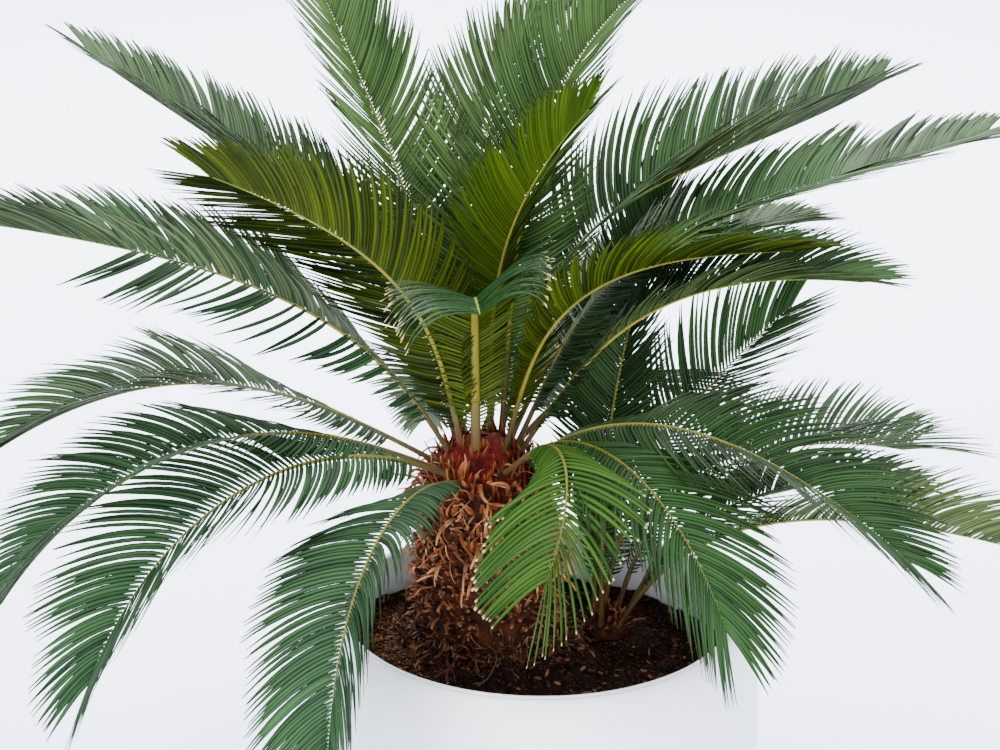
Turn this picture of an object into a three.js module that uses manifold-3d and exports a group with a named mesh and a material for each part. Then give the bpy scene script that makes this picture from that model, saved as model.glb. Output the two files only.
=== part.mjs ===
// Potted sago palm: a short scaly trunk with a round crown of feather fronds, and a smaller
// shoot beside it, growing in a smooth round planter. Sizes in millimetres, +Z up, the
// origin at the centre of the planter's flat underside, the viewer on the -Y side.
import * as THREE from "three";
import { mergeVertices } from "three/addons/utils/BufferGeometryUtils.js";
import Module from "manifold-3d";

const wasm = await Module();
wasm.setup();

// Planter
const RIM = 500;
const MOUTH_R = 306;
const BELLY_R = 348;
const BELLY_Z = 300;
const FOOT_R = 240;
const WALL = 14;
const LIP = 6;
const FLOOR = 20;
const FOOT_ROUND = 9;
const AROUND = 40;

// Soil
const SOIL_DEPTH = 95;
const SOIL_TILT = 0.06;
const GAP = 0.3;

// Trunk and side shoot: where they stand, and where their crowns sit
const TRUNK_FOOT = new THREE.Vector2(-80, 50);
const CROWN = new THREE.Vector2(-85, 45);
const TRUNK_SEAT = RIM - 62;
const CROWN_Z = RIM + 200;
const SHOOT = new THREE.Vector2(115, 95);
const SHOOT_SEAT = RIM - 92;
const SHOOT_TOP = RIM - 76;

// Trunk outline: height above the rim, radius
const TRUNK_OUTLINE = [
  [-61.7, 118],
  [-45, 113],
  [-20, 107],
  [60, 107],
  [110, 104],
  [170, 95],
  [210, 82],
  [240, 62],
  [260, 34],
];
const TRUNK_ROWS = 17;
const TRUNK_COLUMNS = 24;
const SCALE_OUT = 5;
const SCALE_IN = 3;

// Fronds
const HEEL = 13;
const SOCKET = 0.45;
const STEM_W = 5.5;
const STEM_H = 4.5;
const TIP_W = 1.0;
const TIP_H = 0.9;
const LEAF_STEP = 33;
const STALK_STEP = 60;
const LEAF_CLEAR = 0.4;
const LEAF_TRIES = [1, 0.85, 0.7, 0.55, 0.4];
const SWEEP = 0.34;
const SAG = 0.13;
const REFLEX = 40;
const REFLEX_TO = 0.45;
const UPRIGHT_FORWARD = 0.18;
const STOUT = 9;
const STOUT_BY = 1.4;
const TURN_TO_PART = 80;
const TIP_OUT = 22;
const LEAF_FROM = 0.08;
const LEAF_TO = 0.78;

// Where stalks stand: on the crown's edge, how much nearer its middle and how much higher
// the steep ones are, and on the shoot
const CROWN_R = 84;
const CROWN_IN = 52;
const CROWN_LOW = 18;
const CROWN_UP = 42;
const SHOOT_R = 24;
const FLAT_RISE = 20;
const STEEP_RISE = 90;

const frond = (
  foot, seat, heading, rise, droop, bend, snap, swing, length, leaf, roll, keel, stalk, whole = 1,
) => ({ foot, seat, heading, rise, droop, bend, snap, swing, length, leaf, roll, keel, stalk, whole });

// Each frond: its foot, the side of the crown it grows from, its heading, its rise at the
// foot and at the tip, where and how sharply it bends between, its sideways swing, its
// length, its longest leaflet, its roll, the keel of its two rows, its bare stalk's share,
// and how much of it is there where its end was cut off.
const FRONDS = [
  frond("main", 160, 165, 73, 26, 0.33, 4.0, -14, 870, 155, -5, 36, 0.14),
  frond("main", 134, 125, 73, 43, 0.5, 2.0, 0, 845, 155, 10, 42, 0.14),
  frond("main", 218, 200, 78, 26, 0.5, 3.0, 0, 625, 150, -62, 22, 0.14),
  frond("main", 186, 186, 60, 8, 0.42, 2.0, -10, 800, 165, -10, 42, 0.14),
  frond("main", 184, 190, 32, -32, 0.76, 2.6, 0, 710, 150, -3, 25, 0.16),
  frond("main", 204, 200, 28, -54, 0.8, 2.0, 0, 760, 155, -3, 26, 0.16),
  frond("main", 222, 207, 28, -66, 0.8, 1.6, 0, 705, 175, 10, 27, 0.12),
  frond("main", 244, 240, 20, -86, 0.5, 1.8, 10, 630, 145, -14, 33, 0.09),
  frond("main", 250, 268, 86, 0, 0.6, 5.0, 8, 440, 160, -12, 38, 0.16, 0.45),
  frond("main", 75, 320, 89, 47, 0.62, 3.3, 0, 590, 130, 10, 32, 0.2),
  frond("main", 44, 62, 82, 24, 0.75, 3.0, -35, 855, 155, -14, 42, 0.14),
  frond("main", 108, 100, 86, 30, 0.6, 2.0, -70, 750, 150, 0, 40, 0.16),
  frond("main", 20, 20, 77, 8, 0.35, 4.5, 30, 965, 180, 0, 46, 0.14),
  frond("main", 358, 0, 67, 7, 0.36, 3.8, 40, 975, 155, 0, 27, 0.14),
  frond("main", 318, 332, 75, 0, 0.55, 3.0, 34, 620, 140, 8, 30, 0.14),
  frond("main", 338, 350, 58, -2, 0.62, 3.0, 0, 630, 140, 0, 32, 0.16),
  frond("main", 352, 344, 38, -38, 0.4, 1.8, 0, 650, 165, -10, 24, 0.12),
  frond("main", 324, 316, 44, -62, 0.48, 1.8, 0, 520, 170, 0, 12, 0.12),
  frond("main", 300, 307, 40, -66, 0.51, 4.0, -93, 393, 126, -8, 21, 0.38, 0.84),
  frond("main", 42, 36, 60, -6, 0.5, 2.0, 0, 690, 150, 0, 32, 0.18),
  frond("main", 68, 62, 52, -30, 0.5, 2.0, 0, 740, 150, 0, 28, 0.18),
  frond("main", 84, 86, 30, -45, 0.6, 2.0, 0, 700, 150, 0, 25, 0.16),
  frond("main", 100, 106, 54, -28, 0.5, 2.0, 0, 740, 150, 0, 28, 0.18),
  frond("main", 118, 132, 60, 4, 0.5, 2.0, 0, 640, 150, 0, 32, 0.18),
  frond("main", 122, 98, 28, -50, 0.5, 2.0, 0, 560, 150, 0, 28, 0.16),
  frond("main", 52, 48, 28, -50, 0.5, 2.0, 0, 620, 150, 0, 28, 0.16),
  frond("shoot", 306, 2, 60, -16, 0.36, 2.0, 0, 705, 160, 30, 44, 0.22, 0.8),
  frond("shoot", 60, 25, 74, -18, 0.45, 2.0, 0, 668, 165, 0, 40, 0.25, 0.8),
  frond("shoot", 115, 20, 80, 36, 0.6, 2.0, 0, 600, 150, -30, 30, 0.3),
  frond("shoot", 235, 56, 90, 60, 0.5, 4.0, 0, 740, 130, 0, 35, 0.3),
  frond("shoot", 172, 84, 80, 10, 0.6, 2.5, 0, 600, 130, 0, 30, 0.3),
  frond("shoot", 5, 12, 66, -12, 0.5, 2.0, 0, 560, 130, 0, 28, 0.25),
];

// Colours
const PAINT = {
  planter: new THREE.MeshStandardMaterial({ color: 0xe9ebf2, roughness: 0.45, metalness: 0 }),
  soil: new THREE.MeshStandardMaterial({ color: 0x3a2417, roughness: 0.95, metalness: 0 }),
  trunk: new THREE.MeshStandardMaterial({ color: 0x6e4123, roughness: 0.9, metalness: 0 }),
  leaf: new THREE.MeshStandardMaterial({ color: 0x3c6c43, roughness: 0.5, metalness: 0 }),
};

const clamp = (x) => THREE.MathUtils.clamp(x, 0, 1);
const ease = (x) => clamp(x) * clamp(x) * (3 - 2 * clamp(x));
const rad = THREE.MathUtils.degToRad;

// A closed three.js geometry as a solid, and a solid as a geometry.
function solidOf(geometry) {
  const bare = geometry.index ? geometry.toNonIndexed() : geometry.clone();
  const skin = new THREE.BufferGeometry().setAttribute("position", bare.getAttribute("position"));
  const merged = mergeVertices(skin, 1e-3);
  const mesh = new wasm.Mesh({
    numProp: 3,
    vertProperties: merged.attributes.position.array,
    triVerts: new Uint32Array(merged.index.array),
  });
  return new wasm.Manifold(mesh);
}

function geometryOf(solid) {
  const mesh = solid.getMesh();
  const geometry = new THREE.BufferGeometry();
  geometry.setAttribute("position", new THREE.BufferAttribute(mesh.vertProperties, 3));
  geometry.setIndex(new THREE.BufferAttribute(mesh.triVerts, 1));
  geometry.computeVertexNormals();
  return geometry;
}

// A profile of (radius, height) points turned about the vertical axis.
function turned(points, segments) {
  const profile = points.map(([r, z]) => new THREE.Vector2(r, z));
  return new THREE.LatheGeometry(profile, segments).rotateX(Math.PI / 2);
}

// Outer radius of the planter: a quarter oval from the belly to the mouth, a slow taper below.
function outerRadius(z) {
  if (z >= BELLY_Z) {
    const t = (z - BELLY_Z) / (RIM - BELLY_Z);
    return MOUTH_R + (BELLY_R - MOUTH_R) * Math.sqrt(Math.max(0, 1 - t * t));
  }
  const s = (BELLY_Z - z) / BELLY_Z;
  return BELLY_R - (BELLY_R - FOOT_R) * s * s;
}

// The wall thins from WALL at the belly to LIP at the mouth.
function innerRadius(z) {
  const t = clamp((z - BELLY_Z) / (RIM - BELLY_Z));
  return outerRadius(z) - WALL + (WALL - LIP) * t * t * t * t;
}

// Planter: a shell with a closed flat bottom and a narrow rounded lip.
const OUTER_LEVELS = [FOOT_ROUND, 60, 130, 200, 260, 320, 370, 415, 450, 475, 490];
const INNER_LEVELS = [490, 475, 450, 415, 370, 320, 260, 200, 130, 60, FLOOR + 8];
const planterProfile = [
  [0, 0],
  [FOOT_R - FOOT_ROUND, 0],
  ...OUTER_LEVELS.map((z) => [outerRadius(z), z]),
  [MOUTH_R + 1, RIM - 3],
  [MOUTH_R - 1.5, RIM],
  [MOUTH_R - LIP + 1.5, RIM],
  [MOUTH_R - LIP + 1, RIM - 3],
  ...INNER_LEVELS.map((z) => [innerRadius(z), z]),
  [innerRadius(FLOOR) - 8, FLOOR],
  [0, FLOOR],
];
const planter = turned(planterProfile, AROUND);

// Height of the soil: a tilted plane, level under the trunk and lower and level under the shoot.
function soilHeight(x, y) {
  const open = RIM - SOIL_DEPTH - SOIL_TILT * x;
  const fromTrunk = Math.hypot(x - TRUNK_FOOT.x, y - TRUNK_FOOT.y);
  const fromShoot = Math.hypot(x - SHOOT.x, y - SHOOT.y);
  const mounded = THREE.MathUtils.lerp(TRUNK_SEAT, open, ease((fromTrunk - 142) / 78));
  return THREE.MathUtils.lerp(SHOOT_SEAT, mounded, ease((fromShoot - 62) / 46));
}

// Soil: a plug that fills the planter to its sloping top.
const SOIL_WALL = [60, 130, 200, 260, 320];
const SOIL_RINGS = 11;
const soilEdge = (z) => innerRadius(z) - 2 * GAP;
const soilProfile = [
  [0, FLOOR + GAP],
  [soilEdge(FLOOR) - 12, FLOOR + GAP],
  [soilEdge(FLOOR + 8) - 1, FLOOR + 10],
  ...SOIL_WALL.map((z) => [soilEdge(z), z]),
];
for (let ring = 0; ring <= SOIL_RINGS; ring++) {
  soilProfile.push([1 - ring / SOIL_RINGS, RIM + ring]);
}
const soil = turned(soilProfile, AROUND);
const soilPoints = soil.attributes.position;
for (let i = 0; i < soilPoints.count; i++) {
  if (soilPoints.getZ(i) < RIM - 1) continue;
  const share = 1 - (soilPoints.getZ(i) - RIM) / SOIL_RINGS;
  const turn = Math.atan2(soilPoints.getY(i), soilPoints.getX(i));
  const edge = soilEdge(RIM - SOIL_DEPTH) - 3;
  const r = edge * clamp(share);
  const z = soilHeight(r * Math.cos(turn), r * Math.sin(turn));
  soilPoints.setXYZ(i, r * Math.cos(turn), r * Math.sin(turn), z);
}

// Trunk: turned to a flared foot and a domed top, its skin pushed in and out by the stubs
// of old stalks, and leaning a little from its foot to its crown.
const trunkCurve = new THREE.SplineCurve(TRUNK_OUTLINE.map(([z, r]) => new THREE.Vector2(r, RIM + z)));
const trunkRows = trunkCurve.getPoints(TRUNK_ROWS);
const trunkTop = RIM + TRUNK_OUTLINE[TRUNK_OUTLINE.length - 1][0];
const trunkProfile = [
  [0, trunkRows[0].y],
  ...trunkRows.map((p) => [p.x, p.y]),
  [0, trunkTop + 6],
];
function trunkLean(z) {
  const share = clamp((z - TRUNK_SEAT) / (CROWN_Z - TRUNK_SEAT));
  return TRUNK_FOOT.clone().lerp(CROWN, share);
}
const trunkSkin = turned(trunkProfile, TRUNK_COLUMNS);
const trunkPoints = trunkSkin.attributes.position;
for (let i = 0; i < trunkPoints.count; i++) {
  const row = i % trunkProfile.length;
  const column = Math.floor(i / trunkProfile.length);
  const onSide = row > 1 && row < trunkProfile.length - 1;
  const r = Math.hypot(trunkPoints.getX(i), trunkPoints.getY(i));
  const push = (row + column) % 2 ? SCALE_OUT : -SCALE_IN;
  const grown = onSide && r > 0 ? 1 + push / Math.max(r, 40) : 1;
  const axis = trunkLean(trunkPoints.getZ(i));
  trunkPoints.setX(i, axis.x + trunkPoints.getX(i) * grown);
  trunkPoints.setY(i, axis.y + trunkPoints.getY(i) * grown);
}

// Side shoot: a short stub of stem.
const shootProfile = [
  [0, SHOOT_SEAT + GAP],
  [36, SHOOT_SEAT + GAP],
  [34, SHOOT_SEAT + 10],
  [28, SHOOT_TOP + 2],
  [16, SHOOT_TOP + 9],
  [0, SHOOT_TOP + 11],
];
const shootSkin = turned(shootProfile, 16).translate(SHOOT.x, SHOOT.y, 0);

// Where a frond's stalk leaves its crown: steep fronds near the middle, flat ones at the edge.
const steepness = (f) => clamp((f.rise - FLAT_RISE) / (STEEP_RISE - FLAT_RISE));
function footOf(f) {
  const steep = steepness(f);
  const main = f.foot === "main";
  const centre = main ? CROWN : SHOOT;
  const r = main ? CROWN_R - CROWN_IN * steep : SHOOT_R;
  const z = main ? CROWN_Z + CROWN_LOW + CROWN_UP * steep : SHOOT_TOP;
  const a = rad(f.seat);
  return new THREE.Vector3(centre.x + r * Math.cos(a), centre.y + r * Math.sin(a), z);
}

// The rib of a frond: its slope falls from rise to droop round the bend, while its heading
// swings; the points are the summed steps.
class Rib extends THREE.Curve {
  constructor(f) {
    super();
    this.f = f;
    const steps = 160;
    this.points = [footOf(f)];
    for (let i = 1; i <= steps; i++) {
      const step = this.along((i - 0.5) / steps).multiplyScalar(f.length / steps);
      this.points.push(this.points[i - 1].clone().add(step));
    }
  }
  slope(u) {
    const { rise, droop, bend, snap } = this.f;
    const k = bend ** snap;
    const h = u ** snap;
    return rad(rise + ((droop - rise) * h * (1 + k)) / (h + k));
  }
  heading(u) {
    return rad(this.f.heading + this.f.swing * u * u);
  }
  along(u) {
    const e = this.slope(u);
    const a = this.heading(u);
    return new THREE.Vector3(Math.cos(e) * Math.cos(a), Math.cos(e) * Math.sin(a), Math.sin(e));
  }
  getPoint(u, target = new THREE.Vector3()) {
    const x = clamp(u) * (this.points.length - 1);
    const i = Math.min(Math.floor(x), this.points.length - 2);
    return target.copy(this.points[i]).lerp(this.points[i + 1], x - i);
  }
  // The rib's own left and up, turned by the frond's roll.
  frame(u) {
    const a = this.heading(u);
    const along = this.along(u);
    const left = new THREE.Vector3(-Math.sin(a), Math.cos(a), 0).applyAxisAngle(along, rad(-this.f.roll));
    const up = new THREE.Vector3().crossVectors(along, left);
    return { along, left, up };
  }
}

// The tip of a leaflet that leaves the rib at u: longest in the middle, bent back near the
// stalk, turned forward toward the frond's end, swept forward and sagging over its length.
function leafTip(rib, u, side, share) {
  const { leaf, stalk, whole } = rib.f;
  const v = whole * clamp((u - stalk) / (1 - stalk));
  const keel = rib.f.keel - REFLEX * (1 - ease(v / REFLEX_TO));
  const reach = share * leaf * (0.34 + 0.66 * ease(v / 0.34)) * (1 - 0.54 * v ** 4);
  const forward = 1 - UPRIGHT_FORWARD * steepness(rib.f);
  const open = rad((84 - 24 * v ** 0.7 - 32 * v ** 4) * forward);
  const { along, left, up } = rib.frame(u);
  const out = left.multiplyScalar(side * Math.cos(rad(keel))).addScaledVector(up, Math.sin(rad(keel)));
  const tip = rib.getPoint(u).addScaledVector(along, reach * (Math.cos(open) + SWEEP));
  tip.addScaledVector(out, reach * Math.sin(open));
  tip.z -= SAG * reach;
  return tip;
}

// Four corners of the rib at u, moved by shift along it and grown all round.
function corners(rib, u, shift = 0, grow = 0) {
  const { along, left, up } = rib.frame(u);
  const fall = (1 - u) ** 0.8;
  const wide = rib.f === FRONDS[STOUT - 1] ? STOUT_BY : 1;
  const w = (TIP_W + (STEM_W - TIP_W) * fall) * wide + grow;
  const h = TIP_H + (STEM_H - TIP_H) * fall + grow;
  const centre = rib.getPoint(u).addScaledVector(along, shift);
  const corner = (s, t) => centre.clone().addScaledVector(left, s * w).addScaledVector(up, t * h);
  return [corner(1, 1), corner(-1, 1), corner(-1, -1), corner(1, -1)];
}

// Triangles of one stretch of rib between two sets of corners; open sides are left out.
function stretch(a, b, openSides = []) {
  const faces = [];
  for (let k = 0; k < 4; k++) {
    if (openSides.includes(k)) continue;
    const n = (k + 1) % 4;
    faces.push([a[n], b[n], b[k]], [a[n], b[k], a[k]]);
  }
  return faces;
}

// Triangles of a leaf that grows from one side (k) of a stretch to its blunt end.
function leafFaces(a, b, k, near, far) {
  const n = (k + 1) % 4;
  return [
    [a[n], b[n], far],
    [a[n], far, near],
    [b[n], b[k], far],
    [b[k], a[k], far],
    [a[k], near, far],
    [a[k], a[n], near],
  ];
}

const startCap = (c) => [[c[0], c[2], c[1]], [c[0], c[3], c[2]]];
const endPoint = (c, p) => [[c[0], c[1], p], [c[1], c[2], p], [c[2], c[3], p], [c[3], c[0], p]];
const endCap = (c) => [[c[0], c[1], c[2]], [c[0], c[2], c[3]]];

function fromFaces(faces) {
  const flat = new Float32Array(faces.length * 9);
  faces.forEach((face, i) => face.forEach((p, j) => p.toArray(flat, i * 9 + j * 3)));
  return new THREE.BufferGeometry().setAttribute("position", new THREE.BufferAttribute(flat, 3));
}

// Distance tests between triangles, for leaves that must not touch what is near.
const d1 = new THREE.Vector3();
const d2 = new THREE.Vector3();
const gapBetween = new THREE.Vector3();
const onFace = new THREE.Vector3();
const probe = new THREE.Ray();

function segmentGap(p, q, r, s) {
  d1.subVectors(q, p);
  d2.subVectors(s, r);
  gapBetween.subVectors(p, r);
  const a = d1.dot(d1);
  const e = d2.dot(d2);
  const b = d1.dot(d2);
  const c = d1.dot(gapBetween);
  const f = d2.dot(gapBetween);
  const det = a * e - b * b;
  let x = det > 1e-9 ? clamp((b * f - c * e) / det) : 0;
  const y = clamp((b * x + f) / e);
  x = clamp((b * y - c) / a);
  return gapBetween.addScaledVector(d1, x).addScaledVector(d2, -y).length();
}

function pierces(p, q, face) {
  d1.subVectors(q, p);
  const length = d1.length();
  probe.set(p, d1.normalize());
  const hit = probe.intersectTriangle(face[0], face[1], face[2], false, onFace);
  return hit !== null && onFace.distanceTo(p) <= length;
}

const flatFace = new THREE.Triangle();
function pointGap(p, face) {
  flatFace.set(face[0], face[1], face[2]);
  return flatFace.closestPointToPoint(p, onFace).distanceTo(p);
}

function facesTouch(f, g, clear) {
  for (let i = 0; i < 3; i++) {
    if (pointGap(f[i], g) < clear || pointGap(g[i], f) < clear) return true;
    if (pierces(f[i], f[(i + 1) % 3], g) || pierces(g[i], g[(i + 1) % 3], f)) return true;
    for (let j = 0; j < 3; j++) {
      if (segmentGap(f[i], f[(i + 1) % 3], g[j], g[(j + 1) % 3]) < clear) return true;
    }
  }
  return false;
}

// Whether an edge of one face that ends nowhere on the other goes through it.
function crosses(f, g) {
  const apart = (p) => g.every((q) => q.distanceTo(p) > 0.01);
  for (let i = 0; i < 3; i++) {
    const p = f[i];
    const q = f[(i + 1) % 3];
    if (apart(p) && apart(q) && pierces(p, q, g)) return true;
  }
  return false;
}
const anyCross = (some, others) => some.some((f) => others.some((g) => crosses(f, g) || crosses(g, f)));

const boxOf = (face) => new THREE.Box3().setFromPoints(face);
const taken = [];
const take = (faces, tag) => faces.forEach((face) => taken.push({ face, tag, box: boxOf(face) }));

function takeGeometry(geometry, tag) {
  const bare = geometry.index ? geometry.toNonIndexed() : geometry;
  const p = bare.attributes.position;
  const point = (i) => new THREE.Vector3().fromBufferAttribute(p, i);
  for (let i = 0; i < p.count; i += 3) take([[point(i), point(i + 1), point(i + 2)]], tag);
}

function isFree(faces, mine) {
  for (const face of faces) {
    const box = boxOf(face).expandByScalar(LEAF_CLEAR);
    for (const other of taken) {
      if (!box.intersectsBox(other.box) || mine(other.tag)) continue;
      if (facesTouch(face, other.face, LEAF_CLEAR)) return false;
    }
  }
  return true;
}

// Stations along each frond: a few on the bare stalk, then one for each leaf.
const plans = FRONDS.map((f, index) => {
  const rib = new Rib(f);
  const stalkCount = Math.max(3, Math.round((f.stalk * f.length) / STALK_STEP));
  const leafCount = Math.round(((1 - f.stalk) * f.length) / LEAF_STEP);
  const places = [];
  for (let i = 0; i < stalkCount; i++) places.push((f.stalk * i) / stalkCount);
  for (let i = 0; i <= leafCount; i++) places.push(f.stalk + ((1 - f.stalk) * i) / leafCount);
  const middle = rad((f.rise + f.droop) / 2);
  const bendAt = places.findIndex((u) => rib.slope(u) < middle);
  const partAt = Math.abs(f.droop - f.rise) > TURN_TO_PART ? bendAt : -1;
  const tipAt = rib.getPoint(1).addScaledVector(rib.along(1), TIP_OUT);
  return { f, index, rib, places, stalkCount, partAt, tipAt };
});

// The stretch before a parting ends a little short of it, and the next starts a little after.
function ends(plan, i) {
  const before = i + 1 === plan.partAt ? -GAP / 2 - 0.05 : 0;
  const after = i === plan.partAt ? GAP / 2 + 0.05 : 0;
  const a = corners(plan.rib, plan.places[i], after);
  const b = corners(plan.rib, plan.places[i + 1], before);
  return [a, b];
}

// Sockets for the stalks' heels are cut from the trunk and the shoot.
function heelOf(plan, grow, reach) {
  const rib = plan.rib;
  const back = corners(rib, 0, -HEEL - grow, grow);
  const front = corners(rib, reach / plan.f.length, 0, grow);
  return [...startCap(back), ...stretch(back, front), ...endCap(front)];
}

function withSockets(skin, foot) {
  let solid = solidOf(skin);
  for (const plan of plans) {
    if (plan.f.foot !== foot) continue;
    solid = solid.subtract(solidOf(fromFaces(heelOf(plan, SOCKET, plan.f.length * plan.places[1]))));
  }
  const bodies = solid.decompose().sort((a, b) => b.volume() - a.volume());
  return geometryOf(bodies[0]);
}
const trunk = withSockets(trunkSkin, "main");
const shoot = withSockets(shootSkin, "shoot");

takeGeometry(planter, "planter");
takeGeometry(soil, "soil");
takeGeometry(trunk, "trunk");
takeGeometry(shoot, "shoot");
for (const plan of plans) {
  for (let i = 0; i + 1 < plan.places.length; i++) {
    const [a, b] = ends(plan, i);
    take(stretch(a, b), { plan: plan.index, rib: i });
  }
  const last = corners(plan.rib, 1);
  take(endPoint(last, plan.tipAt), { plan: plan.index, rib: plan.places.length - 1 });
}

// Leaves: each side of each stretch grows one to its full reach, or shorter where
// something is in the way, or none.
for (const plan of plans) {
  plan.leaves = new Map();
  const { rib, places } = plan;
  for (let i = plan.stalkCount; i + 1 < places.length; i++) {
    const [a, b] = ends(plan, i);
    const near = THREE.MathUtils.lerp(places[i], places[i + 1], LEAF_FROM);
    const far = THREE.MathUtils.lerp(places[i], places[i + 1], LEAF_TO);
    for (const side of [-1, 1]) {
      const k = side > 0 ? 3 : 1;
      const mine = (tag) =>
        tag.plan === plan.index &&
        (tag.rib !== undefined ? Math.abs(tag.rib - i) <= 1 : Math.abs(tag.leaf - i) <= 1);
      const before = plan.leaves.get(i - 1 + ":" + k) ?? [];
      for (const share of LEAF_TRIES) {
        const faces = leafFaces(a, b, k, leafTip(rib, near, side, share), leafTip(rib, far, side, share));
        if (anyCross(faces, [...faces, ...before]) || !isFree(faces, mine)) continue;
        plan.leaves.set(i + ":" + k, faces);
        take(faces, { plan: plan.index, leaf: i });
        break;
      }
    }
  }
}

// Fronds: heel, stalk and leaves in one piece, or two lengths parted at a sharp bend.
function frondPiece(plan, from, to) {
  const { rib, places, leaves } = plan;
  const faces = [];
  if (from === 0) {
    const heel = corners(rib, 0, -HEEL);
    faces.push(...startCap(heel), ...stretch(heel, ends(plan, 0)[0]));
  } else {
    faces.push(...startCap(ends(plan, from)[0]));
  }
  for (let i = from; i < to; i++) {
    const [a, b] = ends(plan, i);
    const grown = [1, 3].filter((k) => leaves.has(i + ":" + k));
    faces.push(...stretch(a, b, grown));
    grown.forEach((k) => faces.push(...leaves.get(i + ":" + k)));
  }
  const last = ends(plan, to - 1)[1];
  faces.push(...(to === places.length - 1 ? endPoint(last, plan.tipAt) : endCap(last)));
  return mergeVertices(fromFaces(faces), 1e-4);
}

const palm = new THREE.Group();
function add(name, geometry, paint) {
  const mesh = new THREE.Mesh(geometry, paint);
  mesh.name = name;
  palm.add(mesh);
}

add("planter", planter, PAINT.planter);
add("soil", soil, PAINT.soil);
add("trunk", trunk, PAINT.trunk);
add("shoot_stem", shoot, PAINT.trunk);
for (const plan of plans) {
  const name = "frond_" + plan.f.foot + "_" + String(plan.index + 1).padStart(2, "0");
  const end = plan.places.length - 1;
  if (plan.partAt > 0) {
    add(name, frondPiece(plan, 0, plan.partAt), PAINT.leaf);
    add(name + "_end", frondPiece(plan, plan.partAt, end), PAINT.leaf);
  } else {
    add(name, frondPiece(plan, 0, end), PAINT.leaf);
  }
}

export default palm;
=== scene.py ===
import math
from collections import namedtuple
import bpy
import numpy as np
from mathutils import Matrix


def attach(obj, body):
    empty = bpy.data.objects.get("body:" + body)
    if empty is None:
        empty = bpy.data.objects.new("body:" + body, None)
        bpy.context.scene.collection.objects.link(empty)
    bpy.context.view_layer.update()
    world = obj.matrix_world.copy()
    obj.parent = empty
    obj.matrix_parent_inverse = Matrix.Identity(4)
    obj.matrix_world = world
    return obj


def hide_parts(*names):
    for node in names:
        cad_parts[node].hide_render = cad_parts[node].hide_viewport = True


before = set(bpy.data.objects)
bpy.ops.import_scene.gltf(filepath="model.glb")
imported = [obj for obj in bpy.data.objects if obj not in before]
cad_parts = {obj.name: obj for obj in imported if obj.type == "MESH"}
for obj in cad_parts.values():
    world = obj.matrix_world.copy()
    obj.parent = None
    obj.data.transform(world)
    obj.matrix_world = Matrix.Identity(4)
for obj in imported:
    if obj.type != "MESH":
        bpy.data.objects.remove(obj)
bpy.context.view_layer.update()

# Planter
# A smooth rounded pot of fired clay under a white satin glaze, thrown or cast in one
# piece, its lip rubbed and pitted in a few places. Lengths in this file are millimetres.
RIM, MOUTH_R, BELLY_R, BELLY_Z, FOOT_R = 500.0, 306.0, 348.0, 300.0, 240.0
WALL, LIP, FLOOR = 14.0, 6.0, 20.0
FOOT_ROUND, FOOT_OUT, LIP_ROUND, LIP_OUT = 9.0, 9.5, 3.0, 3.4
PLANTER_COLUMNS, BELLY_ROWS, SHOULDER_ROWS, LIP_ROWS, FOOT_ROWS = 180, 26, 34, 9, 7
TO_METRES = 0.001


def linear(r, g, b):
    """A display colour of 0 to 255 as linear light: each channel over 255, to the power 2.2."""
    return tuple((np.array([r, g, b]) / 255.0) ** 2.2) + (1.0,)


def ease(x):
    """Smooth step from 0 to 1: x squared times three less twice x."""
    x = np.clip(x, 0, 1)
    return x * x * (3 - 2 * x)


def build(name, points, faces, materials, slot, nodes=(), smooth=True, shade=None, **values):
    """A mesh piece from whole arrays: points, index arrays of one corner count each,
    one number per point for each named value, and a material number per face."""
    mesh = bpy.data.meshes.new(name)
    points = np.asarray(points, np.float32).reshape(-1, 3) * TO_METRES
    mesh.vertices.add(len(points))
    mesh.vertices.foreach_set("co", points.ravel())
    corners = np.concatenate([f.ravel() for f in faces]).astype(np.int32)
    counts = np.concatenate([np.full(len(f), f.shape[1]) for f in faces])
    mesh.loops.add(len(corners))
    mesh.loops.foreach_set("vertex_index", corners)
    mesh.polygons.add(len(counts))
    mesh.polygons.foreach_set("loop_start", (np.cumsum(counts) - counts).astype(np.int32))
    mesh.polygons.foreach_set("use_smooth", np.full(len(counts), smooth))
    for material in materials:
        mesh.materials.append(material)
    if shade is not None:
        mesh.polygons.foreach_set("material_index", np.asarray(shade, np.int32))
    for key, value in values.items():
        spread = mesh.attributes.new(key, "FLOAT", "POINT")
        spread.data.foreach_set("value", np.asarray(value, np.float32).ravel())
    mesh.update(calc_edges=True)
    piece = bpy.data.objects.new(name, mesh)
    bpy.context.scene.collection.objects.link(piece)
    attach(piece, "root")
    if nodes:
        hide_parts(*nodes)


def closed_lattice(rows, columns):
    """Quads of a grid of rows by columns, its last column joined to its first."""
    base = np.arange(rows * columns).reshape(rows, columns)
    base = np.concatenate([base, base[:, :1]], 1)
    quads = np.stack([base[:-1, :-1], base[:-1, 1:], base[1:, 1:], base[1:, :-1]], -1)
    return quads.reshape(-1, 4)


# Whole multipliers that stir a lattice corner's three numbers and a seed into one value.
STIR_X, STIR_Y, STIR_Z, STIR_SEED = 73856093, 19349663, 83492791, 2654435
STIR_AGAIN, STIR_ADD, STIR_LAST, KEPT_BITS, DROPPED_BITS = 1103515245, 12345, 48271, 0x7FFFFFFF, 7
VALUES, HALF_VALUES = 10007, 5003.0


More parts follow.
